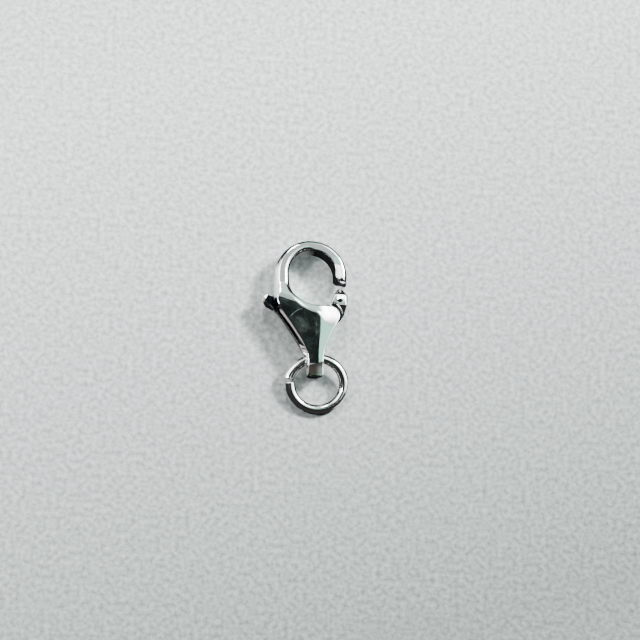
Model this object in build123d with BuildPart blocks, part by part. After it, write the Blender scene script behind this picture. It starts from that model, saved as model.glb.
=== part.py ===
from build123d import *
import os
from math import acos, asin, atan2, cos, degrees, radians, sin, tan

# Trigger clasp in polished silver, lying on its back on a flat surface, with an open jump ring in
# its tail. Millimetres. The origin is where the trigger's pivot axis meets the back of the clasp.
# +X points to the gate side, +Y to the bend of the hook, +Z up out of the surface.

# Hook, seen from the front
hook_radius = 2.81
hook_center_x = -1.14
hook_center_y = 3.62
hook_band = 0.925
eye_rise = 0.115
hook_end_y = 2.60
hook_end_angle = 30.0

# Eye, the opening that the hook and the gate close
eye_floor_y = 1.03
eye_corner_radius = 2.12

# Body, seen from the front
shoulder_y = 2.05
shoulder_radius = 3.4
flank_share = 0.349
flank_y = -0.015
flank_radius = 15.0
left_neck_y = -2.64
left_neck_radius = 3.4
right_neck_y = -2.83
right_neck_radius = 3.0
waist_x = 0.33
waist_y = -1.33
waist_radius = 8.0
corner_x = 1.55
corner_radius = 0.80
rim_foot_y = -0.50
plate_top_y = 2.35

# Tail lug, whose bore runs from side to side
lug_width = 1.26
lug_center_x = -0.87
lug_end_y = -4.62
lug_corner = 0.30
lug_bore_radius = 0.65
lug_bore_y = -2.85

# Thickness from front to back, the same on both sides of the middle plane
body_thickness = 2.60
hook_thickness = 1.80
lug_thickness = 1.90
flat_bottom_y = -1.60
lug_step_y = -3.10
nose_radius = 0.50
step_radius = 3.0
hook_fillet = 0.30
rim_fillet = 0.20
rim_land = 0.42

# Slot between the two cheeks of the body
slot_width = 0.66
eye_wall = 0.47
mouth_clearance = 0.13
slot_end_x = -2.02
slot_end_y = -1.93
slot_floor_x = -0.75
slot_floor_y = -1.36
heel_x = 0.20
heel_y = -0.90
heel_right_y = -0.25
gate_notch_x = -0.62

# Pivot pin, pressed into both cheeks and ground flush
pin_radius = 0.36
pin_clearance = 0.03

# Trigger: one lever with a thumb tab, an arm and boss in the slot, and a gate
plate_thickness = 0.54
boss_radius = 0.74
tab_thickness = 1.45
tab_length = 1.33
tab_top_length = 1.11
tab_bottom_length = 0.96
tab_width = 0.60
tab_angle = 154.5
tab_clearance = 0.12
tab_corner = 0.16
tab_rim = 0.24
gate_thickness = 1.50
gate_inner_x = 0.80
gate_width = 0.95
gate_foot_y = 1.30
gate_gap = 0.25
gate_shoulder = 0.55
gate_corner = 0.14
gate_rim = 0.26
web_root_angle = 78.0
web_inner_x = 0.40
web_inner_y = 1.35
knuckle_x = 1.50
knuckle_y = 0.60
heel_knuckle_angle = -30.0

# Leaf spring under the arm
spring_thickness = 0.12
spring_width = 0.42
spring_foot_inset = 0.15
spring_bend_inset = 0.35
spring_bend_radius = 0.30
spring_tip_x = -2.45
spring_clearance = 0.05

# Jump ring of round wire, cut open on its left side
ring_wire = 0.75
ring_outside = 5.00
ring_shift = 0.32
ring_play = 0.09
cut_angle = 172.0
cut_gap = 0.12
spring_out_radius = 2.55
spring_out_sweep = 62.0

os.makedirs("parts", exist_ok=True)

mid_z = body_thickness / 2
middle = Plane.XY.offset(mid_z)
hook_left = hook_center_x - hook_radius
hook_right = hook_center_x + hook_radius
eye_radius = hook_radius - hook_band
eye_left = hook_center_x - eye_radius
eye_right = hook_center_x + eye_radius
eye_top_y = hook_center_y + eye_rise
eye_floor_x = eye_left + eye_corner_radius
lug_left = lug_center_x - lug_width / 2
lug_right = lug_center_x + lug_width / 2
flank_x = hook_left + flank_share * (lug_left - hook_left)
rim_foot_x = waist_x + (corner_x - waist_x) * (rim_foot_y - waist_y) / (eye_floor_y - waist_y)
end_rise = hook_band * tan(radians(hook_end_angle))
end_distance = hook_right * sin(radians(hook_end_angle)) + hook_end_y * cos(radians(hook_end_angle))
gate_reach = end_distance - gate_gap
eye_corner = Vector(eye_floor_x, eye_floor_y + eye_corner_radius)


def where_lines_meet(start, direction, other_start, other_direction):
    """Point where two lines in the sketch plane cross."""
    between = other_start - start
    share = (between.X * other_direction.Y - between.Y * other_direction.X) / (
        direction.X * other_direction.Y - direction.Y * other_direction.X
    )
    return start + direction * share


# The tab and the slot's mouth run along a line that grazes the wall under the eye.
tab_along = Vector(cos(radians(tab_angle)), sin(radians(tab_angle)))
tab_across = Vector(tab_along.Y, -tab_along.X)
slot_crest_radius = eye_corner_radius + eye_wall
arm_crest_radius = slot_crest_radius + mouth_clearance
mouth_inside = eye_corner - tab_across * slot_crest_radius
arm_crest = eye_corner - tab_across * arm_crest_radius
flank_along = Vector(flank_x - hook_left, flank_y - shoulder_y).normalized()
flank_out = Vector(flank_along.Y, -flank_along.X)
tab_foot = Vector(hook_left, shoulder_y) + flank_out * tab_clearance
tab_middle = arm_crest - tab_across * tab_width / 2
tab_root = where_lines_meet(tab_middle, tab_along, tab_foot, flank_along)
mouth_outside = mouth_inside + tab_along * ((tab_root - tab_middle).length + tab_length)

# The clasp body is one casting: a thinner hook and eye rim, and a thicker body with the tail lug.
with BuildPart() as hook_rim:
    with BuildSketch(Plane.XY.offset(mid_z - hook_thickness / 2)):
        with BuildLine():
            ThreePointArc(
                (hook_right, hook_center_y),
                (hook_center_x, hook_center_y + hook_radius),
                (hook_left, hook_center_y),
            )
            FilletPolyline(
                (hook_left, hook_center_y),
                (hook_left, shoulder_y),
                (flank_x, flank_y),
                (rim_foot_x, rim_foot_y),
                (corner_x, eye_floor_y),
                (eye_floor_x, eye_floor_y),
                (eye_floor_x, hook_end_y + end_rise),
                (eye_right, hook_end_y + end_rise),
                (hook_right, hook_end_y),
                (hook_right, hook_center_y),
                radius=[shoulder_radius, 0, 0, corner_radius, 0, 0, 0, 0],
            )
        make_face()
        with BuildLine():
            Line((eye_right, eye_floor_y), (eye_right, eye_top_y))
            ThreePointArc(
                (eye_right, eye_top_y),
                (hook_center_x, eye_top_y + eye_radius),
                (eye_left, eye_top_y),
            )
            Line((eye_left, eye_top_y), (eye_left, eye_corner.Y))
            RadiusArc((eye_left, eye_corner.Y), (eye_floor_x, eye_floor_y), -eye_corner_radius)
            Line((eye_floor_x, eye_floor_y), (eye_right, eye_floor_y))
        make_face(mode=Mode.SUBTRACT)
    extrude(amount=hook_thickness)
    flat_ends = hook_rim.faces().filter_by(Axis.Z)
    fillet(flat_ends.edges(), hook_fillet)


def back_rims(part):
    """Edges between the walls of a piece and its back."""
    backs = part.faces().filter_by(lambda face: face.normal_at().Z < -0.3).edges()
    walls = part.faces().filter_by(lambda face: abs(face.normal_at().Z) < 0.01).edges()
    return ShapeList([edge for edge in walls if edge in backs])


with BuildPart() as clasp_body:
    with BuildSketch():
        with BuildLine():
            FilletPolyline(
                (hook_left, hook_center_y),
                (hook_left, shoulder_y),
                (flank_x, flank_y),
                (lug_left, left_neck_y),
                (lug_left, lug_end_y),
                (lug_right, lug_end_y),
                (lug_right, right_neck_y),
                (waist_x, waist_y),
                (corner_x, eye_floor_y),
                (eye_floor_x, eye_floor_y),
                (eye_floor_x, hook_center_y),
                close=True,
                radius=[
                    0, shoulder_radius, flank_radius, left_neck_radius, lug_corner,
                    lug_corner, right_neck_radius, waist_radius, corner_radius, 0, 0,
                ],
            )
        make_face()
        with Locations(eye_corner):
            Circle(eye_corner_radius + rim_land, mode=Mode.SUBTRACT)
        with Locations((hook_center_x, plate_top_y)):
            Rectangle(4 * hook_radius, hook_radius, align=(Align.CENTER, Align.MIN), mode=Mode.SUBTRACT)
    extrude(amount=body_thickness)
    with BuildSketch(Plane.YZ.offset(2 * hook_left)):
        with BuildLine():
            FilletPolyline(
                (hook_center_y, body_thickness),
                (flat_bottom_y, body_thickness),
                (lug_step_y, mid_z + lug_thickness / 2),
                (lug_end_y, mid_z + lug_thickness / 2),
                (lug_end_y, mid_z - lug_thickness / 2),
                (lug_step_y, mid_z - lug_thickness / 2),
                (flat_bottom_y, 0),
                (hook_center_y, 0),
                close=True,
                radius=[0, step_radius, step_radius, nose_radius, nose_radius, step_radius, step_radius, 0],
            )
        make_face()
    extrude(amount=-4 * hook_left, mode=Mode.INTERSECT)
    fillet(back_rims(clasp_body), rim_fillet)
    split(bisect_by=middle, keep=Keep.BOTTOM)
    mirror(about=middle)
    add(hook_rim.part)
    with BuildSketch(Plane.XY.offset(mid_z - slot_width / 2)):
        with BuildLine():
            Polyline(
                (eye_floor_x, eye_floor_y - eye_wall),
                (gate_notch_x, eye_floor_y - eye_wall),
                (gate_notch_x, eye_floor_y + hook_band),
                (corner_x + hook_band, eye_floor_y + hook_band),
                (corner_x + hook_band, heel_right_y),
                (heel_x, heel_y),
                (slot_floor_x, slot_floor_y),
                (slot_end_x, slot_end_y),
                (slot_end_x - hook_band, slot_end_y),
                (hook_left - hook_band, flank_y),
                mouth_outside,
                mouth_inside,
            )
            RadiusArc(mouth_inside, (eye_floor_x, eye_floor_y - eye_wall), -slot_crest_radius)
        make_face()
    extrude(amount=slot_width, mode=Mode.SUBTRACT)
    with Locations(Plane.XY):
        Cylinder(pin_radius, 3 * body_thickness, mode=Mode.SUBTRACT)
    with Locations(Plane.YZ.offset(lug_center_x)):
        with Locations((lug_bore_y, mid_z)):
            Cylinder(lug_bore_radius, 3 * lug_width, mode=Mode.SUBTRACT)
clasp_body.part.label = "clasp_body"
export_step(clasp_body.part, "parts/clasp_body.step")

# The pivot pin fills its hole in both cheeks, flush with the front and the back.
with BuildPart() as pivot_pin:
    with BuildSketch():
        Circle(pin_radius)
    extrude(amount=body_thickness)
pivot_pin.part.label = "pivot_pin"
export_step(pivot_pin.part, "parts/pivot_pin.step")

# The gate's head stands outside the slot and closes on the end of the hook.
with BuildPart() as gate_head:
    with BuildSketch(Plane.XY.offset(mid_z - gate_thickness / 2)):
        with Locations((gate_inner_x, gate_foot_y)):
            Rectangle(gate_width, gate_reach, align=Align.MIN)
        Circle(gate_reach, mode=Mode.INTERSECT)
        fillet(vertices().sort_by(Axis.Y)[-2], gate_shoulder)
        fillet(vertices().sort_by(Axis.Y)[-1], gate_corner)
        fillet(vertices().sort_by(Axis.Y)[:2], gate_corner)
    extrude(amount=gate_thickness)
    fillet(gate_head.faces().filter_by(Axis.Z).edges(), gate_rim)

# The thumb tab stands outside the slot on the other side, clear of the body's flank.
tab_top = tab_root + tab_across * tab_width / 2
tab_bottom = tab_root - tab_across * tab_width / 2
with BuildPart() as thumb_tab:
    with BuildSketch(Plane.XY.offset(mid_z - tab_thickness / 2)):
        with BuildLine():
            Polyline(
                where_lines_meet(tab_top, tab_along, tab_foot, flank_along),
                tab_top + tab_along * tab_top_length,
                tab_root + tab_along * tab_length,
                tab_bottom + tab_along * tab_bottom_length,
                where_lines_meet(tab_bottom, tab_along, tab_foot, flank_along),
                close=True,
            )
        make_face()
        fillet(vertices(), tab_corner)
    extrude(amount=tab_thickness)
    fillet(thumb_tab.faces().filter_by(Axis.Z).edges(), tab_rim)

# The trigger's plate joins the tab, the boss round the pin and the gate inside the slot.
arm_crest_y = eye_floor_y - eye_wall - mouth_clearance
arm_low = tab_bottom + tab_along * tab_bottom_length / 2
low_angle = atan2(arm_low.Y, arm_low.X) + acos(boss_radius / arm_low.length)
boss_low = Vector(boss_radius * cos(low_angle), boss_radius * sin(low_angle))
gate_outer_x = gate_inner_x + gate_width
heel = radians(heel_knuckle_angle)
web_root = radians(web_root_angle)
with BuildPart() as trigger:
    with BuildSketch(Plane.XY.offset(mid_z - plate_thickness / 2)):
        Circle(boss_radius)
        with BuildLine():
            Line(tab_top + tab_along * tab_top_length / 2, arm_crest)
            RadiusArc(arm_crest, (eye_floor_x, arm_crest_y), -arm_crest_radius)
            Polyline(
                (eye_floor_x, arm_crest_y),
                (0, arm_crest_y),
                (0, 0),
                boss_low,
                arm_low,
                tab_top + tab_along * tab_top_length / 2,
            )
        make_face()
        with BuildLine():
            Polyline(
                (boss_radius * cos(heel), boss_radius * sin(heel)),
                (0, 0),
                (boss_radius * cos(web_root), boss_radius * sin(web_root)),
                (web_inner_x, web_inner_y),
                (gate_inner_x + gate_width / 2, gate_foot_y + gate_width),
                (gate_outer_x, gate_foot_y + gate_rim),
            )
            ThreePointArc(
                (gate_outer_x, gate_foot_y + gate_rim),
                (knuckle_x, knuckle_y),
                (boss_radius * cos(heel), boss_radius * sin(heel)),
            )
        make_face()
    extrude(amount=plate_thickness)
    add(gate_head.part)
    add(thumb_tab.part)
    with Locations(Plane.XY):
        Cylinder(pin_radius + pin_clearance, 3 * body_thickness, mode=Mode.SUBTRACT)
trigger.part.label = "trigger"
export_step(trigger.part, "parts/trigger.step")

# The leaf spring lies on the slot's floor and turns up to press under the arm.
floor_along = Vector(slot_end_x - slot_floor_x, slot_end_y - slot_floor_y).normalized()
floor_up = Vector(floor_along.Y, -floor_along.X)
spring_lift = floor_up * (spring_clearance + spring_thickness / 2)
spring_foot = Vector(slot_floor_x, slot_floor_y) + floor_along * spring_foot_inset + spring_lift
spring_bend = Vector(slot_end_x, slot_end_y) - floor_along * spring_bend_inset + spring_lift
arm_edge = where_lines_meet(
    Vector(spring_tip_x + spring_thickness, 0), Vector(0, 1), arm_low, boss_low - arm_low
)
with BuildPart() as trigger_spring:
    with BuildSketch(Plane.XY.offset(mid_z - spring_width / 2)):
        with BuildLine():
            FilletPolyline(
                spring_foot,
                spring_bend,
                (spring_tip_x, arm_edge.Y - spring_clearance),
                radius=spring_bend_radius,
            )
        trace(line_width=spring_thickness)
    extrude(amount=spring_width)
trigger_spring.part.label = "trigger_spring"
export_step(trigger_spring.part, "parts/trigger_spring.step")

# The jump ring passes through the lug and leans from there down to the surface.
ring_radius = (ring_outside - ring_wire) / 2
lean = asin((mid_z - ring_wire / 2) / (2 * ring_radius - ring_play))
ring_plane = Plane(
    origin=(lug_center_x + ring_shift, lug_bore_y, mid_z),
    x_dir=(1, 0, 0),
    z_dir=(0, -sin(lean), cos(lean)),
)
gap_angle = degrees(cut_gap / ring_radius)
with BuildPart() as jump_ring:
    with BuildLine(ring_plane) as wire_path:
        round_part = CenterArc(
            (0, ring_play - ring_radius),
            ring_radius,
            cut_angle + gap_angle / 2,
            360 - gap_angle / 2 - spring_out_sweep,
        )
        JernArc(
            round_part @ 1,
            round_part % 1,
            spring_out_radius,
            (spring_out_sweep - gap_angle / 2) * ring_radius / spring_out_radius,
        )
    with BuildSketch(Plane(origin=wire_path.line @ 0, z_dir=wire_path.line % 0)):
        Circle(ring_wire / 2)
    sweep()
jump_ring.part.label = "jump_ring"
export_step(jump_ring.part, "parts/jump_ring.step")
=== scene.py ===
import bpy
import numpy as np
from mathutils import Matrix, Vector


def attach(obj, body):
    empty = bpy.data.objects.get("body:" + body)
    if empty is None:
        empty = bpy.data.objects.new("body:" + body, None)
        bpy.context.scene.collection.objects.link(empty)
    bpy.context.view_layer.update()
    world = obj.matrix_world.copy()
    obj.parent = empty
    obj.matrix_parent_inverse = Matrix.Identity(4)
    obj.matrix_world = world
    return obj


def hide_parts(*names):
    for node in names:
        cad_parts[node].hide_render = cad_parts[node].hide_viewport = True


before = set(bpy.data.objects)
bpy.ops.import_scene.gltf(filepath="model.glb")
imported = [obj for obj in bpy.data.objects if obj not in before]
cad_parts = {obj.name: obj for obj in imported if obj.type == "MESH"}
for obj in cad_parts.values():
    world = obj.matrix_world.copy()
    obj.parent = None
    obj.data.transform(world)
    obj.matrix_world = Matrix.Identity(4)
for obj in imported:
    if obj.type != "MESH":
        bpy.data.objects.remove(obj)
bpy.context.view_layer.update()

# Clasp body: one cast piece of silver, with the hook, the rim of the eye, the two cheeks and the
# tail lug. It is tumbled and polished, so every edge is softly rounded and the cheeks swell a little.
# Forms are in millimetres: x and y from the pivot, z up from the paper, with the pieces' MIDDLE.
MM = 0.001
MIDDLE = 1.30


def rounded_outline(corners, step=0.06):
    """A closed outline through corners (x, y, radius), each rounded by its radius."""
    outline = []
    count = len(corners)
    for i in range(count):
        here = np.array(corners[i][:2], float)
        before = np.array(corners[i - 1][:2], float) - here
        after = np.array(corners[(i + 1) % count][:2], float) - here
        before /= np.linalg.norm(before)
        after /= np.linalg.norm(after)
        radius = corners[i][2]
        if radius == 0:
            outline.append(here)
            continue
        half = np.arccos(np.clip(before @ after, -1, 1)) / 2
        middle = before + after
        center = here + middle / np.linalg.norm(middle) * radius / np.sin(half)
        start = here + before * radius / np.tan(half) - center
        turn = np.pi - 2 * half
        if before[0] * after[1] - before[1] * after[0] > 0:
            turn = -turn
        pieces = max(2, int(abs(turn) * radius / step))
        for share in np.linspace(0, 1, pieces + 1):
            c, s = np.cos(turn * share), np.sin(turn * share)
            outline.append(center + (c * start[0] - s * start[1], s * start[0] + c * start[1]))
    return np.array(outline)


def inside_by(outline, x, y):
    """Distance from each point to an outline, less than zero inside it."""
    x, y = np.broadcast_arrays(np.asarray(x, float), np.asarray(y, float))
    nearest = np.full(x.shape, 1e9)
    inside = np.zeros(x.shape, bool)
    for (ax, ay), (bx, by) in zip(outline, np.roll(outline, -1, axis=0)):
        dx, dy = bx - ax, by - ay
        long = dx * dx + dy * dy
        if long < 1e-12:
            continue
        share = np.clip(((x - ax) * dx + (y - ay) * dy) / long, 0, 1)
        nearest = np.minimum(nearest, (x - ax - share * dx) ** 2 + (y - ay - share * dy) ** 2)
        if dy:
            crosses = ((ay > y) != (by > y)) & (x < (y - ay) * dx / dy + ax)
            inside ^= crosses
    nearest = np.sqrt(nearest)
    return np.where(inside, -nearest, nearest)


def slab(side, depth, rim):
    """A plate: side is the distance outside its outline, depth that outside its faces."""
    a = np.maximum(side + rim, 0)
    b = np.maximum(depth + rim, 0)
    return np.sqrt(a * a + b * b) + np.minimum(np.maximum(side + rim, depth + rim), 0) - rim


def joined(a, b, soft):
    """Two forms run together with a soft hollow of metal between them."""
    h = np.clip(0.5 + 0.5 * (b - a) / soft, 0, 1)
    return b + (a - b) * h - soft * h * (1 - h)


def cut(a, b, soft):
    """The first form with the second cut away, its new edges softened."""
    return -joined(-a, b, soft)


def eased(value, low, high):
    """0 below low, 1 above high, and a smooth run between."""
    t = np.clip((value - low) / (high - low), 0, 1)
    return t * t * (3 - 2 * t)


def grid_faces(value, step):
    """The points and faces of the surface where a form's values on a grid change sign: a point in
    each cell that it crosses, and a face of four points round each grid line that it crosses."""
    within = value < 0
    cells = tuple(n - 1 for n in value.shape)
    crossing_sum = np.zeros(cells + (3,))
    crossings = np.zeros(cells)
    quads = []
    index = np.stack(np.meshgrid(*[np.arange(n) for n in value.shape], indexing="ij"), -1)
    for axis in range(3):
        head = [slice(None)] * 3
        tail = [slice(None)] * 3
        head[axis] = slice(0, -1)
        tail[axis] = slice(1, None)
        head, tail = tuple(head), tuple(tail)
        changes = within[head] != within[tail]
        share = np.where(changes, value[head] / (value[head] - value[tail] + (~changes)), 0)
        point = index[head].astype(float)
        point[..., axis] += share
        point *= changes[..., None]
        others = [i for i in range(3) if i != axis]
        for da in (0, 1):
            for db in (0, 1):
                to = [slice(None)] * 3
                to[axis] = slice(0, cells[axis])
                put = [slice(None)] * 3
                for other, d in zip(others, (da, db)):
                    to[other] = slice(d, cells[other] + d)
                to, put = tuple(to), tuple(put)
                crossing_sum[put] += point[to]
                crossings[put] += changes[to]
        at = np.argwhere(changes)
        at = at[(at[:, others[0]] > 0) & (at[:, others[1]] > 0)]
        corner = []
        for da, db in ((1, 1), (0, 1), (0, 0), (1, 0)):
            cell = at.copy()
            cell[:, others[0]] -= da
            cell[:, others[1]] -= db
            corner.append(cell)
        inward = within[tuple(at.T)]
        forward = inward if axis != 1 else ~inward
        quads.append((np.stack(corner, 1), forward))
    used = crossings > 0
    number = np.full(cells, -1)
    number[used] = np.arange(used.sum())
    faces = []
    for corner, forward in quads:
        face = number[corner[..., 0], corner[..., 1], corner[..., 2]]
        faces.append(np.where(forward[:, None], face, face[:, ::-1]))
    return crossing_sum[used] / crossings[used][:, None] * step, np.concatenate(faces)


def slope(form, points, reach=0.002):
    """How fast a form rises at points along x, y and z."""
    rises = np.empty_like(points)
    for i in range(3):
        d = np.zeros(3)
        d[i] = reach
        rises[:, i] = form(*(points + d).T) - form(*(points - d).T)
    return rises / (2 * reach)


def cast_form(name, form, low, high, step, node, tarnish_and_shade=None):
    """A mesh of the surface where form(x, y, z) is zero, in millimetres, smooth all over. Its last
    argument names masks over that surface, each 1 where it has tarnished or where its colour is
    painted black as painted shade."""
    axes = [np.arange(low[i] - step, high[i] + 2 * step, step) for i in range(3)]
    x, y, z = axes[0][:, None, None], axes[1][None, :, None], axes[2][None, None, :]
    value = np.broadcast_to(form(x, y, z), tuple(len(a) for a in axes)).copy()
    points, faces = grid_faces(value, step)
    points += [a[0] for a in axes]

    # Three rounds pull the points onto the exact surface, which their normals then follow.
    for _ in range(3):
        rises = slope(form, points)
        pull = form(*points.T) / np.maximum((rises * rises).sum(1), 0.2)
        points -= rises * np.clip(pull, -step / 2, step / 2)[:, None]
    rises = slope(form, points)
    facing = rises / np.linalg.norm(rises, axis=1)[:, None]

    mesh = bpy.data.meshes.new(name)
    mesh.from_pydata((points * MM).tolist(), [], faces.tolist())
    mesh.update()
    mesh.shade_smooth()
    mesh.normals_split_custom_set_from_vertices(facing.tolist())
    for word, mask in (tarnish_and_shade or {}).items():
        layer = mesh.attributes.new(word, "FLOAT", "POINT")
        layer.data.foreach_set("value", np.clip(mask(*points.T), 0, 1).astype(np.float32))
    piece = bpy.data.objects.new(name, mesh)
    bpy.context.collection.objects.link(piece)
    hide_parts(node)
    return piece


CHEEK_FACE, HOOK_FACE = 1.30, 0.89
SLOT_HALF, TIP_Y = 0.33, 3.134
EYE_LEFT, EYE_RIGHT, EYE_FLOOR, EYE_TOP = -2.94, 0.745, 1.03, 5.62
LUG_X, LUG_SLANT, LUG_END = -0.87, 0.3, 4.76
BORE_Y, BORE_RADIUS, BORE_FLARE = -2.87, 0.72, 0.30
BURR_X, BURR_Y, BURR_Z, BURR_RADIUS = -3.93, 3.58, 1.55, 0.12
hook_outline = rounded_outline([
    (-3.97, 6.43, 2.81), (-3.97, 1.05, 1.6), (-3.02, -0.29, 0), (0.759, -0.50, 0),
    (1.55, EYE_FLOOR, 0.8), (-0.905, EYE_FLOOR, 0), (-0.905, TIP_Y, 0), (EYE_RIGHT, TIP_Y, 0),
    (1.67, 2.92, 0), (1.67, 6.43, 2.81),
])
eye_outline = rounded_outline([
    (EYE_LEFT, EYE_TOP, 1.885), (EYE_LEFT, EYE_FLOOR, 2.12),
    (EYE_RIGHT, EYE_FLOOR, 0), (EYE_RIGHT, EYE_TOP, 1.885),
])
cheek_outline = rounded_outline([
    (-3.97, 3.62, 0), (-3.97, 1.05, 1.6), (-3.02, -0.29, 12.0), (-1.50, -2.64, 3.4),
    (-1.50, -4.78, 0.30), (-0.24, -4.78, 0.30), (-0.24, -2.83, 3.0), (0.33, -1.33, 8.0),
    (1.55, EYE_FLOOR, 0.8), (-0.905, EYE_FLOOR, 0), (-0.905, 3.62, 0),
])
slot_outline = rounded_outline([
    (-2.02, 0.812, 0.3), (-0.905, 0.56, 0), (-0.62, 0.56, 0), (-0.62, 1.955, 0), (2.475, 1.955, 0),
    (2.475, -0.25, 0), (0.20, -0.90, 0.1), (-0.75, -1.36, 0.1), (-2.02, -1.93, 0.1),
    (-2.945, -1.93, 0), (-4.875, -0.015, 0), (-5.10, 2.28, 0),
])


def body_front(x, y, plan, from_eye):
    """How far the body's faces stand from its middle plane."""
    high = eased(y, 1.5, 2.1)
    left = 1 - eased(x, -1.9, -0.9)

    # The cheeks have two facets that meet in a ridge and fall off towards the tail.
    below = LUG_SLANT * (x - LUG_X) - y
    ridge = -0.66 + 0.20 * eased(-y, -0.9, 0.1) - 0.12 * eased(-y, 0.6, 2.6)
    aside = (x - ridge) * (1 - eased(below, 3.62, 4.30))
    fall = 0.03 * (1.5 - np.maximum(y, -3.7)) + 0.12 * eased(-y, 1.2, 3.8)
    face = joined(CHEEK_FACE + 0.05 * aside, CHEEK_FACE - 0.05 * aside, 0.015) - fall

    # A brow slopes down into the eye, and a neck falls from the cheeks to the lower, flat hook.
    brow_wide = 0.80 + 0.95 * eased(x, -1.0, 0.4)
    brow = CHEEK_FACE - 0.16 * (1 - from_eye / brow_wide) - 0.05 * np.maximum(aside, 0)
    neck = CHEEK_FACE - 0.26 * (y - 1.32 + 0.15 * (x + 3.5))
    front = joined(joined(face, brow, 0.03 + 0.05 * eased(x, -0.8, 0.0)), neck, 0.10)
    front = cut(front, -HOOK_FACE + 0.02 * (np.maximum(y, 1.0) - 4.0), 0.04)

    # Polishing has rounded the faces off towards the outline, and towards the eye on the hook's left
    # limb, and its right limb slopes down to the right.
    edge_wide = 0.08 + 0.16 * high
    front = front - (0.03 + 0.12 * high) * np.maximum(1 + plan / edge_wide, 0) ** 1.4
    front = front - 0.065 * eased(y, 1.2, 2.2) * np.maximum(1 - from_eye / 0.42, 0) ** 2 * left
    return front - 0.055 * np.maximum(x - 0.15, 0) * eased(-y, -5.3, -4.4) * high


def body_form(x, y, z):
    """The whole body: a plate with rounded rims, and what is cut from it or stands out of it."""
    depth = np.abs(z - MIDDLE)
    plan = np.minimum(inside_by(hook_outline, x, y), inside_by(cheek_outline, x, y))
    from_eye = inside_by(eye_outline, x, y)

    # The sides of the cheeks and of the lug draw in behind, towards the surface that they lie on.
    low = eased(-y, 2.2, 3.1)
    drawn_in = (0.15 + 0.06 * low) * np.maximum(0.97 + 0.60 * low - z, 0) * eased(-y, -1.6, -0.9)

    # The rim is round on the hook and roundest at its end, but crisp along the eye's right side.
    high = eased(y, 1.5, 2.1)
    end = eased(x, 0.5, 0.8) * eased(-y, -3.7, -3.1) * eased(y, 2.2, 2.4)
    crisp = eased(x, -1.9, -0.9) * eased(y, 2.2, 2.8) * eased(0.40 - from_eye, 0, 0.25)
    rim = 0.06 + (0.27 * high + 0.22 * end) * (1 - crisp)
    front = body_front(x, y, plan, from_eye)
    whole = slab(np.maximum(plan + drawn_in, -from_eye), depth - front, rim)

    # The hook's end and the lug's nose are ground off at a slant, and a burr is left on the left.
    tip = 0.75 * (x - EYE_RIGHT) + 0.66 * (y - TIP_Y) - 0.20
    whole = cut(whole, np.maximum(tip, np.maximum(0.2 - x, 2.5 - y)), 0.06)
    whole = cut(whole, LUG_END - 0.17 * (2.36 - z) + y, 0.12)
    from_burr = np.sqrt((x - BURR_X) ** 2 + (y - BURR_Y) ** 2 + (z - BURR_Z) ** 2)
    whole = joined(whole, from_burr - BURR_RADIUS, 0.05)

    slot = np.maximum(inside_by(slot_outline, x, y), depth - SLOT_HALF)
    whole = cut(whole, slot, 0.06)
    flare = BORE_FLARE * np.maximum(np.abs(x - LUG_X) - 0.25, 0)
    bore = np.hypot(y - BORE_Y, z - MIDDLE) - BORE_RADIUS - flare
    bore = np.maximum(bore, np.abs(x - LUG_X) - 1.4)
    return cut(whole, bore, 0.05)


def painted_slot_shade(x, y, z):
    """Inside the slot, where the metal is painted black as painted shade."""
    side = np.maximum(inside_by(slot_outline, x, y), np.abs(z - MIDDLE) - SLOT_HALF)
    return eased(-side, -0.03, 0.01)


def lug_face(x, y, z):
    """The lug's front and back, tarnished by handling, and less so at its right."""
    dull = 1 - 0.5 * eased(x, -0.95, -0.35) * eased(-y, 3.7, 4.2)
    below = LUG_SLANT * (x - LUG_X) - y
    return eased(below, 3.60, 3.74) * eased(np.abs(z - MIDDLE), 0.70, 0.80) * dull


body = cast_form(
    "polished_body", body_form, (-3.97, -4.78, 0.0), (1.67, 6.43, 2.60), 0.055,
    "clasp_body", {"slot_shade": painted_slot_shade, "tarnish": lug_face},
)
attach(body, "clasp")


def noise(tree, place, scale, detail):
    """A noise at a place, or over the piece's own box where none is given."""
    node = tree.nodes.new("ShaderNodeTexNoise")
    node.inputs["Scale"].default_value = scale
    node.inputs["Detail"].default_value = detail
    if place is not None:
        tree.links.new(place, node.inputs["Vector"])
    return node.outputs["Fac"]


def ranged(tree, value, low, high, least=0.0, most=1.0):
    """A value carried from the range low to high onto the range least to most."""
    node = tree.nodes.new("ShaderNodeMapRange")
    node.inputs["From Min"].default_value = low
    node.inputs["From Max"].default_value = high
    node.inputs["To Min"].default_value = least
    node.inputs["To Max"].default_value = most
    tree.links.new(value, node.inputs["Value"])
    return node.outputs["Result"]


def worked_out(tree, operation, *values):
    """The result of a sum on values, each a number or a socket."""
    node = tree.nodes.new("ShaderNodeMath")
    node.operation = operation
    for socket, value in zip(node.inputs, values):
        if isinstance(value, float):
            socket.default_value = value
        else:
            tree.links.new(value, socket)
    return node.outputs[0]


def mixed(tree, share, first, second):
    """The first colour where share is 0 and the second where it is 1, each a colour or a socket."""
    node = tree.nodes.new("ShaderNodeMix")
    node.data_type = "RGBA"
    tree.links.new(share, node.inputs[0])
    for socket, colour in ((node.inputs[6], first), (node.inputs[7], second)):
        if isinstance(colour, tuple):
            socket.default_value = (*colour, 1)
        else:
            tree.links.new(colour, socket)
    return node.outputs[2]


def distance(tree, place, middle):
    """How far a place is from a point."""
    node = tree.nodes.new("ShaderNodeVectorMath")
    node.operation = "DISTANCE"
    node.inputs[1].default_value = middle
    tree.links.new(place, node.inputs[0])
    return node.outputs["Value"]


def parts_of(tree, place):
    """The X, Y and Z of a place or a direction."""
    node = tree.nodes.new("ShaderNodeSeparateXYZ")
    tree.links.new(place, node.inputs[0])
    return node.outputs


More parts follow.
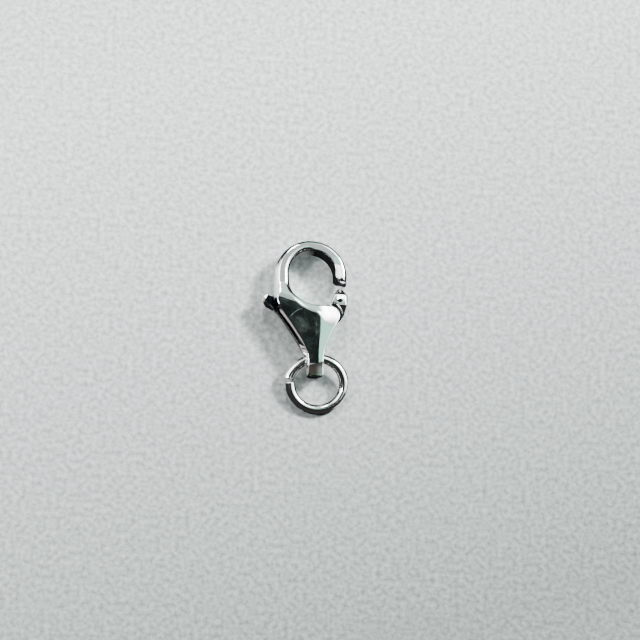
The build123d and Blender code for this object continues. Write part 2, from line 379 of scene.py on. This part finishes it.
def bumped(tree, height, strength, depth):
    """The surface's direction, tilted by a height that is depth metres at most."""
    node = tree.nodes.new("ShaderNodeBump")
    node.inputs["Strength"].default_value = strength
    node.inputs["Distance"].default_value = depth
    tree.links.new(height, node.inputs["Height"])
    return node.outputs["Normal"]


# Marks that both silvers share: a cloudy haze, hairlines from tumbling and a fine grain. A scale
# is the count of marks in a metre.
marks = bpy.data.node_groups.new("tumbling_marks", "ShaderNodeTree")
marks.interface.new_socket("Vector", in_out="INPUT", socket_type="NodeSocketVector")
for mark in ("Haze", "Hairlines", "Grain"):
    marks.interface.new_socket(mark, in_out="OUTPUT", socket_type="NodeSocketFloat")
marked_at = marks.nodes.new("NodeGroupInput").outputs["Vector"]
marks_out = marks.nodes.new("NodeGroupOutput")
drawn_out = marks.nodes.new("ShaderNodeMapping")
drawn_out.inputs["Rotation"].default_value = (0, 0, 0.7)
drawn_out.inputs["Scale"].default_value = (7000, 1100, 900)
marks.links.new(marked_at, drawn_out.inputs["Vector"])
hairs = noise(marks, drawn_out.outputs["Vector"], 1.0, 2.0)
marks.links.new(noise(marks, marked_at, 900.0, 5.0), marks_out.inputs["Haze"])
marks.links.new(ranged(marks, hairs, 0.58, 0.72), marks_out.inputs["Hairlines"])
marks.links.new(noise(marks, marked_at, 2600.0, 3.0), marks_out.inputs["Grain"])

SILVER_BRIGHT, SILVER_DULL = (0.93, 0.93, 0.92), (0.86, 0.88, 0.88)


def silver(name, roughness):
    """Silver with the shared marks in its roughness, colour and surface. The sockets of its place,
    colour and roughness come back too, for a finish that lays more over them."""
    metal = bpy.data.materials.new(name)
    metal.use_nodes = True
    tree = metal.node_tree
    shader = tree.nodes["Principled BSDF"]
    shader.inputs["Metallic"].default_value = 1.0
    place = tree.nodes.new("ShaderNodeTexCoord").outputs["Object"]
    worn = tree.nodes.new("ShaderNodeGroup")
    worn.node_tree = marks
    tree.links.new(place, worn.inputs["Vector"])
    haze = worn.outputs["Haze"]
    rough = ranged(tree, haze, 0.3, 0.7, roughness * 0.7, roughness * 1.9)
    rough = worked_out(tree, "MULTIPLY_ADD", worn.outputs["Hairlines"], 0.05, rough)
    shade = mixed(tree, haze, SILVER_BRIGHT, SILVER_DULL)
    tree.links.new(rough, shader.inputs["Roughness"])
    tree.links.new(shade, shader.inputs["Base Color"])
    tree.links.new(bumped(tree, worn.outputs["Grain"], 0.5, 0.000006), shader.inputs["Normal"])
    return metal, place, shade, rough


def mask_of(tree, word):
    """A mask that the mesh carries under a name."""
    node = tree.nodes.new("ShaderNodeAttribute")
    node.attribute_name = word
    return node.outputs["Fac"]


# The polished silver has a smudged film of tarnish on the lug. It is painted black in the slot, on
# the lever's plate and at the tab's root, as painted shade.
FILM_BLACK, FILM_BROWN, SLOT_SHADE_BLACK = (0.015, 0.012, 0.011), (0.155, 0.128, 0.112), (0.03, 0.03, 0.035)
polished_silver, silver_place, silver_shade, silver_rough = silver("polished_silver", 0.055)
polish = polished_silver.node_tree
smudge = noise(polish, silver_place, 1600.0, 3.0)
film = mixed(polish, smudge, FILM_BLACK, FILM_BROWN)
browned = mixed(polish, mask_of(polish, "tarnish"), silver_shade, film)
# Painted shade: the metal is painted black where the slot's mask is 1.
slot_shaded = mixed(polish, mask_of(polish, "slot_shade"), browned, SLOT_SHADE_BLACK)
polish.links.new(slot_shaded, polish.nodes["Principled BSDF"].inputs["Base Color"])

# A fine arc is scored on the left facet of the front cheek.
ARC_MIDDLE, ARC_RADIUS = (-0.001618, -0.000842, 0.00245), 0.001521
from_arc = worked_out(polish, "SUBTRACT", distance(polish, silver_place, ARC_MIDDLE), ARC_RADIUS)
arc = ranged(polish, worked_out(polish, "ABSOLUTE", from_arc), 0.000032, 0.000012)
arc_parts = parts_of(polish, silver_place)
for axis, clear, full in (("X", -0.0019, -0.0021), ("Y", -0.0003, 0.0001), ("Z", 0.0015, 0.0018)):
    arc = worked_out(polish, "MULTIPLY", arc, ranged(polish, arc_parts[axis], clear, full))
scored = worked_out(polish, "MULTIPLY_ADD", arc, 0.12, silver_rough)
polish.links.new(scored, polish.nodes["Principled BSDF"].inputs["Roughness"])
body.data.materials.append(polished_silver)

# Pivot pin: a plain pin of the same silver, pressed through both cheeks, then ground flush and
# polished with them, so that its ends can't be told from the cheeks.
PIN_RADIUS, PIN_HALF = 0.355, 1.05


def pin_form(x, y, z):
    """A round pin with softened ends."""
    return slab(np.hypot(x, y) - PIN_RADIUS, np.abs(z - MIDDLE) - PIN_HALF, 0.03)


pin = cast_form(
    "pivot_pin", pin_form, (-0.36, -0.36, 0), (0.36, 0.36, 2.6), 0.06,
    "pivot_pin",
)
pin.data.materials.append(polished_silver)
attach(pin, "clasp")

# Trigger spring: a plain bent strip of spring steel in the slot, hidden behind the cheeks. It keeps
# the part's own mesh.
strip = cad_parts["trigger_spring"]
steel = bpy.data.materials.new("spring_steel")
steel.use_nodes = True
steel_rough = ranged(steel.node_tree, noise(steel.node_tree, None, 3000.0, 2.0), 0.0, 1.0, 0.25, 0.45)
steel_shader = steel.node_tree.nodes["Principled BSDF"]
steel.node_tree.links.new(steel_rough, steel_shader.inputs["Roughness"])
steel_shader.inputs["Base Color"].default_value = (0.50, 0.51, 0.53, 1)
steel_shader.inputs["Metallic"].default_value = 1.0
strip.data.materials.clear()
strip.data.materials.append(steel)

# Trigger: one cast lever of silver. Its thin plate turns on the pin in the slot, and carries the
# thumb tab on the left and the thick gate that closes on the hook's end.
PLATE_HALF, PLATE_HOLE, BOSS_RADIUS = 0.27, 0.39, 0.74
GATE_CREST, KNUCKLE_HALF, TAB_ROOF = 0.75, 0.60, 0.725
TAB_ROOT_X, TAB_ROOT_Y = -3.715, 1.17
TAB_EDGE_X, TAB_EDGE_Y = 0.4305, 0.9026
plate_outline = rounded_outline([
    (-4.20, 1.84, 0), (-2.10, 0.79, 1.5), (-1.20, 0.43, 0.6), (-0.02, 0.43, 0), (0, 0, 0),
    (-0.40, -0.62, 0), (-4.08, 1.02, 0),
])
web_outline = rounded_outline([
    (0.64, -0.37, 0), (0, 0, 0), (0.154, 0.724, 0), (0.36, 1.37, 0.2), (0.70, 2.12, 0.1),
    (1.24, 2.30, 0), (1.66, 1.56, 0), (1.66, 1.20, 1.2), (1.40, 0.30, 1.2),
])
gate_outline = rounded_outline([
    (0.80, 1.38, 0.14), (0.80, 2.40, 0.35), (1.08, 2.73, 0.20), (1.36, 2.60, 0.4),
    (1.75, 2.02, 0.5), (1.75, 1.38, 0.14),
])
tab_outline = rounded_outline([
    (-4.08, 1.68, 0.14), (-4.66, 1.95, 0.16), (-4.98, 1.72, 0.18), (-4.66, 1.12, 0.30),
    (-3.98, 0.76, 0.10),
])


def trigger_form(x, y, z):
    """The lever: its plate with the boss and the web, then the gate, a knuckle and the tab."""
    depth = np.abs(z - MIDDLE)
    from_pin = np.hypot(x, y)
    web = inside_by(web_outline, x, y)
    plate = np.minimum(inside_by(plate_outline, x, y), from_pin - BOSS_RADIUS)
    whole = slab(np.minimum(plate, web), depth - PLATE_HALF, 0.08)

    # The gate is thickest along a crest, and slopes to both sides, to its top and to the web. A thick
    # knuckle joins it to the web.
    crest = GATE_CREST - 0.42 * np.maximum(np.abs(x - 1.18) - 0.05, 0) - 0.12 * (y - 1.6)
    crest = crest - 0.25 * eased(y, 2.0, 2.8)
    crest = crest - 0.9 * np.maximum(1.78 - y, 0) ** 1.4
    whole = joined(whole, slab(inside_by(gate_outline, x, y), depth - crest, 0.16), 0.08)
    outside = depth - KNUCKLE_HALF + 0.40 * np.maximum(1.30 - y, 0)
    whole = joined(whole, slab(np.maximum(web, 1.50 - from_pin), outside, 0.12), 0.06)

    # The tab's roof slants down across its width and off its outer end.
    tab_x, tab_y = x - TAB_ROOT_X, y - TAB_ROOT_Y
    across = TAB_EDGE_X * tab_x + TAB_EDGE_Y * tab_y
    along = -TAB_EDGE_Y * tab_x + TAB_EDGE_X * tab_y
    roof = TAB_ROOF - 0.20 * (0.40 - across) - 0.60 * np.maximum(along - 1.12, 0)
    whole = joined(whole, slab(inside_by(tab_outline, x, y), depth - roof, 0.09), 0.12)
    return cut(whole, np.maximum(from_pin - PLATE_HOLE, depth - 2), 0.03)


def painted_plate_shade(x, y, z):
    """The plate and the root of the tab, where the metal is painted black as painted shade."""
    thin = eased(0.30 - np.abs(z - MIDDLE), -0.02, 0.01) * (y < np.where(x > 0.5, 1.45, 0.9))
    return np.maximum(thin, eased(x, -4.34, -4.24) * (x < -2))


trigger = cast_form(
    "polished_trigger", trigger_form, (-4.97, -0.74, 0.55), (1.75, 2.73, 2.05), 0.045,
    "trigger", {"slot_shade": painted_plate_shade},
)
trigger.data.materials.append(polished_silver)
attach(trigger, "lever")

# Jump ring: round silver wire, wound on a mandrel and cut with cutters, so that its ends don't
# quite meet. It hangs in the lug's bore and lies on the surface.
RING_RADIUS, WIRE = 2.125, 0.375
RING_X, RING_Y, RING_TOP = -0.55, -2.85, 0.09
RING_SAG, RING_LONG = 0.25, 4.16
CUT_WIDTH, CUT_AT = 0.18, np.radians(177)
OPENED_RADIUS, OPENED_TURN = 2.55, np.radians(62)
ROUND_COUNT = 40
ring_lean = np.arcsin((MIDDLE - WIRE) / (2 * RING_RADIUS - RING_TOP))
half_cut = CUT_WIDTH / RING_RADIUS / 2

# The wire's middle line, with its way at each point: a round run, then an end that is bent open.
first_turn = CUT_AT + half_cut
last_turn = first_turn + 2 * np.pi - half_cut - OPENED_TURN
path = [
    (RING_RADIUS * np.cos(t), RING_TOP - RING_RADIUS + RING_RADIUS * np.sin(t), t + np.pi / 2)
    for t in np.linspace(first_turn, last_turn, 200)
]
last_x, last_y, last_way = path[-1]
hub = (last_x - OPENED_RADIUS * np.sin(last_way), last_y + OPENED_RADIUS * np.cos(last_way))
out_turn = (OPENED_TURN - half_cut) * RING_RADIUS / OPENED_RADIUS
for t in np.linspace(0, out_turn, 42)[1:]:
    way = last_way + t
    path.append((hub[0] + OPENED_RADIUS * np.sin(way), hub[1] - OPENED_RADIUS * np.cos(way), way))

ring_points = []
for path_x, path_y, way in path:
    for k in range(ROUND_COUNT):
        around = 2 * np.pi * k / ROUND_COUNT
        flat_x = path_x + np.sin(way) * WIRE * np.cos(around)
        flat_y = path_y - np.cos(way) * WIRE * np.cos(around)
        up = WIRE * np.sin(around)
        sag = RING_SAG * (1 + flat_y / RING_LONG)
        ring_points.append((
            RING_X + flat_x,
            RING_Y - sag + flat_y * np.cos(ring_lean) - up * np.sin(ring_lean),
            MIDDLE + flat_y * np.sin(ring_lean) + up * np.cos(ring_lean),
        ))
ring_faces = []
for i in range(len(path) - 1):
    here, there = i * ROUND_COUNT, (i + 1) * ROUND_COUNT
    for k in range(ROUND_COUNT):
        n = (k + 1) % ROUND_COUNT
        ring_faces.append((here + k, here + n, there + n, there + k))
ring_faces.append(tuple(range(ROUND_COUNT))[::-1])
ring_faces.append(tuple(range(len(ring_points) - ROUND_COUNT, len(ring_points))))
ring_mesh = bpy.data.meshes.new("wire_ring")
ring_mesh.from_pydata([tuple(c * MM for c in p) for p in ring_points], [], ring_faces)
ring_mesh.update()
ring_mesh.shade_smooth()
for cut_end in ring_mesh.polygons[-2:]:
    cut_end.use_smooth = False
ring = bpy.data.objects.new("wire_ring", ring_mesh)
bpy.context.collection.objects.link(ring)
ring.data.materials.append(silver("drawn_silver", 0.10)[0])
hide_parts("jump_ring")
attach(ring, "ring")

# Paper: the clasp lies on a sheet of pale, faintly blue-grey paper with a fine, mottled tooth. Its
# colour is painted darker towards the near right, a painted fall-off of the light. To the silver's
# reflections it is painted almost black, a painted shade, with a few pale patches of painted light.
PAPER_HALF = 0.4
PAPER_DARK, PAPER_PALE = (0.26, 0.30, 0.29), (0.70, 0.775, 0.76)
PAPER_MIRRORED_SHADE = (0.016, 0.016, 0.018)
paper_mesh = bpy.data.meshes.new("paper")
paper_mesh.from_pydata([
    (-PAPER_HALF, -PAPER_HALF, 0), (PAPER_HALF, -PAPER_HALF, 0),
    (PAPER_HALF, PAPER_HALF, 0), (-PAPER_HALF, PAPER_HALF, 0),
], [], [(0, 1, 2, 3)])
paper = bpy.data.objects.new("paper", paper_mesh)
bpy.context.collection.objects.link(paper)
paper_stock = bpy.data.materials.new("paper_stock")
paper_stock.use_nodes = True
sheet = paper_stock.node_tree
paper_shader = sheet.nodes["Principled BSDF"]
paper_shader.inputs["Roughness"].default_value = 0.85
paper_shader.inputs["Specular IOR Level"].default_value = 0.0
sheet_place = sheet.nodes.new("ShaderNodeTexCoord").outputs["Object"]
sheet_parts = parts_of(sheet, sheet_place)
fibres = noise(sheet, sheet_place, 2600.0, 6.0)
# Painted fall-off of the light: the paper's colour darkens towards the near right.
slanted = worked_out(sheet, "MULTIPLY_ADD", sheet_parts["X"], -0.36, sheet_parts["Y"])
paper_falloff = mixed(sheet, ranged(sheet, slanted, -0.028, 0.024), PAPER_DARK, PAPER_PALE)
paper_mottled = sheet.nodes.new("ShaderNodeVectorMath")
paper_mottled.operation = "SCALE"
sheet.links.new(paper_falloff, paper_mottled.inputs[0])
sheet.links.new(ranged(sheet, fibres, 0.3, 0.7, 0.66, 1.36), paper_mottled.inputs["Scale"])

# The first pale patch of painted light stops at a straight edge, so that the tab's underside, which
# mirrors the painted shade, stays dark.
patch_side = sheet.nodes.new("ShaderNodeVectorMath")
patch_side.operation = "DOT_PRODUCT"
patch_side.inputs[1].default_value = (-0.855, -0.52, 0)
sheet.links.new(sheet_place, patch_side.inputs[0])
patch_clear = ranged(sheet, patch_side.outputs["Value"], 0.00328, 0.00336)
patch_round = ranged(sheet, distance(sheet, sheet_place, (-0.0028, -0.0018, 0)), 0.0029, 0.0026)
patch = worked_out(sheet, "MULTIPLY", patch_round, patch_clear)
mirrored = mixed(sheet, patch, PAPER_MIRRORED_SHADE, (0.95, 0.90, 0.89))
# More pale patches of painted light in the paper's painted reflection.
for patch_middle, inner, outer, mirrored_light in (
    ((-0.0020, 0.0053, 0), 0.00085, 0.00125, (0.60, 0.60, 0.60)),
    ((-0.0056, 0.0036, 0), 0.0019, 0.0022, (0.97, 0.97, 0.97)),
    ((-0.0128, 0.0062, 0), 0.0054, 0.0060, (0.97, 0.97, 0.97)),
    ((0.0042, -0.0066, 0), 0.0024, 0.0030, (0.50, 0.52, 0.52)),
):
    patch = ranged(sheet, distance(sheet, sheet_place, patch_middle), outer, inner)
    mirrored = mixed(sheet, patch, mirrored, mirrored_light)
# Glossy rays see the painted reflection colours, and other rays see the paper's own colour.
sheet_ray = sheet.nodes.new("ShaderNodeLightPath")
paper_seen = mixed(sheet, sheet_ray.outputs["Is Glossy Ray"], paper_mottled.outputs[0], mirrored)
sheet.links.new(paper_seen, paper_shader.inputs["Base Color"])
sheet.links.new(bumped(sheet, fibres, 0.35, 0.00003), paper_shader.inputs["Normal"])
paper.data.materials.append(paper_stock)

# Light: a soft window from the upper right, a weaker lamp from the left and the sky from behind. The
# room sheds little light of its own, but the silver mirrors it, so it is painted by direction: X to
# the right, Y towards the hook and Z up.
for lamp_name, lamp_size, lamp_power, lamp_place in (
    ("window", 0.15, 11.3, (0.42, 0.27, 0.46)),
    ("lamp", 0.12, 2.25, (-0.38, 0.04, 0.46)),
    ("skylight", 0.10, 1.9, (-0.06, 0.38, 0.43)),
):
    lamp_light = bpy.data.lights.new(lamp_name, "AREA")
    lamp_light.shape = "DISK"
    lamp_light.size = lamp_size
    lamp_light.energy = lamp_power
    lamp = bpy.data.objects.new(lamp_name, lamp_light)
    lamp.location = lamp_place
    lamp.rotation_euler = Vector(lamp_place).to_track_quat("Z", "Y").to_euler()
    bpy.context.collection.objects.link(lamp)

world = bpy.data.worlds.new("room")
world.use_nodes = True
bpy.context.scene.world = world
room = world.node_tree
room_parts = parts_of(room, room.nodes.new("ShaderNodeTexCoord").outputs["Generated"])


def rise(axis, start, end):
    """0 before start and 1 after end, along an axis of the direction looked in."""
    ramp = room.nodes.new("ShaderNodeMapRange")
    ramp.interpolation_type = "SMOOTHSTEP"
    ramp.inputs["From Min"].default_value = min(start, end)
    ramp.inputs["From Max"].default_value = max(start, end)
    ramp.inputs["To Min"].default_value = 0 if start < end else 1
    ramp.inputs["To Max"].default_value = 1 if start < end else 0
    room.links.new(room_parts[axis], ramp.inputs["Value"])
    return ramp.outputs["Result"]


ROOM_SHED = (0.03, 0.032, 0.034)
ROOM_PALE = (0.80, 1.55, 1.25)
ROOM_GREY = (0.64, 0.74, 0.71)
ROOM_DIM = (1.9, 2.3, 2.15)
WINDOW_WHITE = (14.0, 14.0, 14.0)
WINDOW_COOL = (8.0, 8.5, 8.4)
WALL_WHITE = (8.0, 8.0, 8.0)
WALL_BLACK = (0.02, 0.022, 0.022)
NECK_PALE = (1.00, 1.28, 1.18)
FLOOR_BLACK = (0.03, 0.03, 0.035)
NEAR_BLACK = (0.035, 0.027, 0.027)
FACET_BLACK = (0.005, 0.011, 0.014)
FACET_EDGE = (0.013, 0.017, 0.015)
look = ROOM_PALE
for colour, *edges in (
    # The grey wall ahead, the window with its white middle and cooler sides, and the wall below it.
    (ROOM_GREY, ("Y", 0.24, 0.265), ("Y", 0.56, 0.48), ("X", 0.34, 0.26)),
    (WINDOW_WHITE, ("X", 0.175, 0.265), ("X", 0.40, 0.34), ("Y", 0.26, 0.47), ("Y", 0.57, 0.50)),
    (ROOM_DIM, ("X", 0.30, 0.36), ("Y", -0.32, -0.26), ("Y", 0.20, 0.12)),
    (WINDOW_COOL, ("X", 0.30, 0.36), ("Y", 0.12, 0.20), ("Y", 0.48, 0.42)),
    (WINDOW_COOL, ("X", 0.50, 0.56), ("Y", -0.10, 0.10)),
    # The white wall at the left, the black one far ahead, and the pale patch that the neck mirrors.
    (WALL_WHITE, ("X", -0.30, -0.40), ("Y", 0.18, 0.23)),
    (WALL_BLACK, ("Y", 0.58, 0.68), ("Z", 0.68, 0.56)),
    (NECK_PALE, ("Y", 0.54, 0.62), ("X", 0.34, 0.28), ("X", -0.05, 0.05), ("Z", 0.56, 0.64)),
    # The dark near left and the dark floor, with the white wall again in front of them.
    (FLOOR_BLACK, ("X", -0.40, -0.50), ("Y", 0.23, 0.18)),
    (FLOOR_BLACK, ("Z", 0.34, 0.16)),
    (WALL_WHITE, ("X", -0.30, -0.40), ("Y", 0.18, 0.23), ("Y", 0.56, 0.48)),
    # The dark near side, and the darker parts of it that the body's facets mirror.
    (NEAR_BLACK, ("Y", -0.05, -0.20), ("X", 0.33, 0.27)),
    (NEAR_BLACK, ("Y", -0.26, -0.32)),
    (FACET_BLACK, ("X", 0.125, 0.10), ("X", -0.46, -0.40), ("Y", 0.27, 0.24), ("Y", -0.66, -0.60)),
    (FACET_EDGE, ("X", 0.125, 0.10), ("X", 0.02, 0.06), ("Y", 0.27, 0.24), ("Y", -0.20, 0.0)),
    # A dark bar above, which the ring's wire mirrors.
    (WALL_BLACK, ("X", -0.02, -0.10), ("X", -0.38, -0.32), ("Y", 0.36, 0.40), ("Y", 0.52, 0.46)),
):
    mask = rise(*edges[0])
    for edge in edges[1:]:
        mask = worked_out(room, "MULTIPLY", mask, rise(*edge))
    look = mixed(room, mask, look, colour)
room_ray = room.nodes.new("ShaderNodeLightPath")
room_seen = mixed(room, room_ray.outputs["Is Glossy Ray"], ROOM_SHED, look)
room.links.new(room_seen, room.nodes["Background"].inputs["Color"])

# Camera: the photograph's view, from above, a little from the near side and from the left. A long
# lens looks at the middle of the clasp and its ring.
CAMERA_RIGHT, CAMERA_UP = Vector((0.988, 0.0, 0.156)), Vector((-0.0436, 0.960, 0.276))
LOOKED_AT, CAMERA_AWAY = Vector((-0.000185, 0.000501, 0)), 0.35
camera_data = bpy.data.cameras.new("camera")
camera_data.lens = 250
camera_data.sensor_width = 36
camera_data.clip_start = 0.001
camera_data.clip_end = 10
camera = bpy.data.objects.new("camera", camera_data)
right = CAMERA_RIGHT.normalized()
back = right.cross(CAMERA_UP).normalized()
up = back.cross(right)
stand = LOOKED_AT + back * CAMERA_AWAY
camera.matrix_world = Matrix((
    (right.x, up.x, back.x, stand.x),
    (right.y, up.y, back.y, stand.y),
    (right.z, up.z, back.z, stand.z),
    (0, 0, 0, 1),
))
bpy.context.collection.objects.link(camera)
bpy.context.scene.camera = camera
